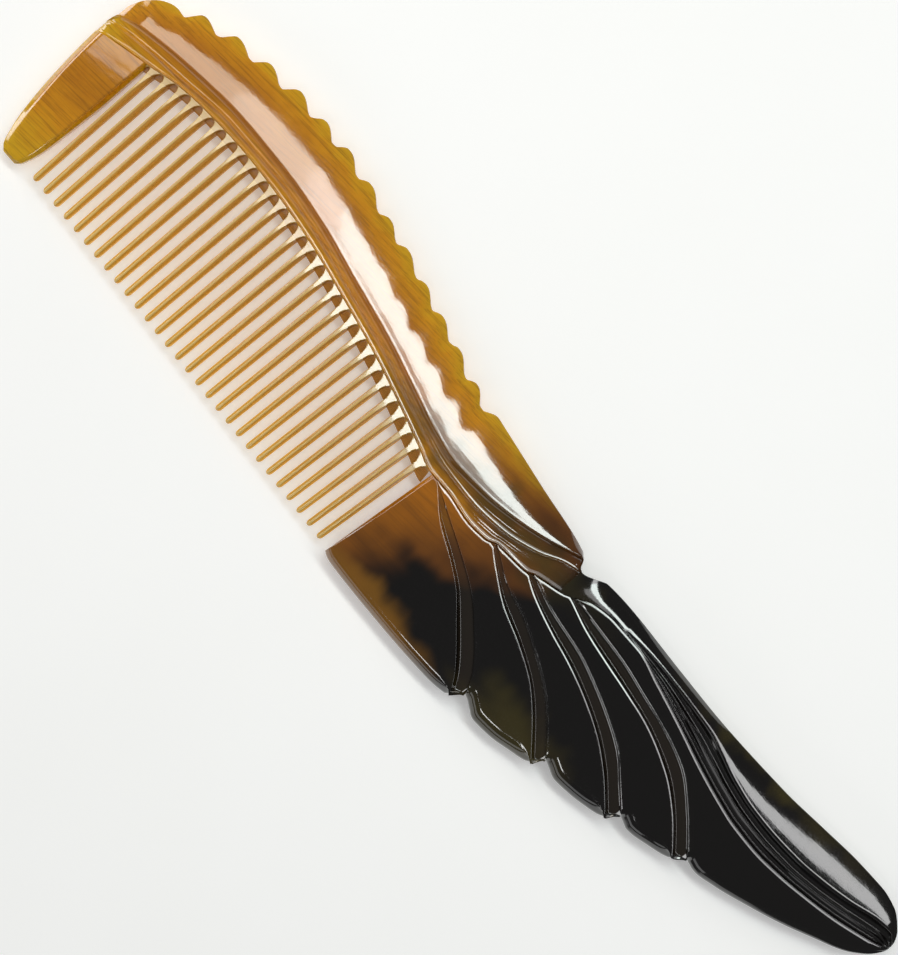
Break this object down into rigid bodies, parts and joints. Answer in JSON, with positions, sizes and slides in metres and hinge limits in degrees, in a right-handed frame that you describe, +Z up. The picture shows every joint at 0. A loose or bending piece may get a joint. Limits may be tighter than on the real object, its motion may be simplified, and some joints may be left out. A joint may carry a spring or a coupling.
{
  "type": "hair comb",
  "caption": "Carved horn handle comb: scalloped crest, fluted stem, a row of sawn tapering teeth with a broad guard tooth, a plain heel and a handle of overlapping leaves.",
  "frame": {"origin": "bottom centre of the comb's box as it lies flat: the middle of its length and width, on the surface it rests on", "axes": "+X along the comb from the guard tooth to the end of the handle, -Y the way the teeth point, +Z up out of the carved face"},
  "size_m": [0.185, 0.0446, 0.0055],
  "materials": {
    "amber_horn": "hand-polished translucent amber horn",
    "tooth_horn": "polished translucent golden horn, thin enough to glow",
    "dark_horn": "high-gloss black horn with brown streaks"
  },
  "bodies": {
    "root": {"crest": "amber_horn", "stem": "amber_horn", "root_bar": "tooth_horn", "guard_tooth": "amber_horn", "tooth_01": "tooth_horn", "tooth_02": "tooth_horn", "tooth_03": "tooth_horn", "tooth_04": "tooth_horn", "tooth_05": "tooth_horn", "tooth_06": "tooth_horn", "tooth_07": "tooth_horn", "tooth_08": "tooth_horn", "tooth_09": "tooth_horn", "tooth_10": "tooth_horn", "tooth_11": "tooth_horn", "tooth_12": "tooth_horn", "tooth_13": "tooth_horn", "tooth_14": "tooth_horn", "tooth_15": "tooth_horn", "tooth_16": "tooth_horn", "tooth_17": "tooth_horn", "tooth_18": "tooth_horn", "tooth_19": "tooth_horn", "tooth_20": "tooth_horn", "tooth_21": "tooth_horn", "tooth_22": "tooth_horn", "tooth_23": "tooth_horn", "tooth_24": "tooth_horn", "tooth_25": "tooth_horn", "tooth_26": "tooth_horn", "tooth_27": "tooth_horn", "tooth_28": "tooth_horn", "tooth_29": "tooth_horn", "heel": "dark_horn", "leaf_1": "dark_horn", "leaf_2": "dark_horn", "leaf_3": "dark_horn", "end_leaf": "dark_horn", "handle_rib": "dark_horn", "upper_leaf": "dark_horn"}
  },
  "joints": []
}
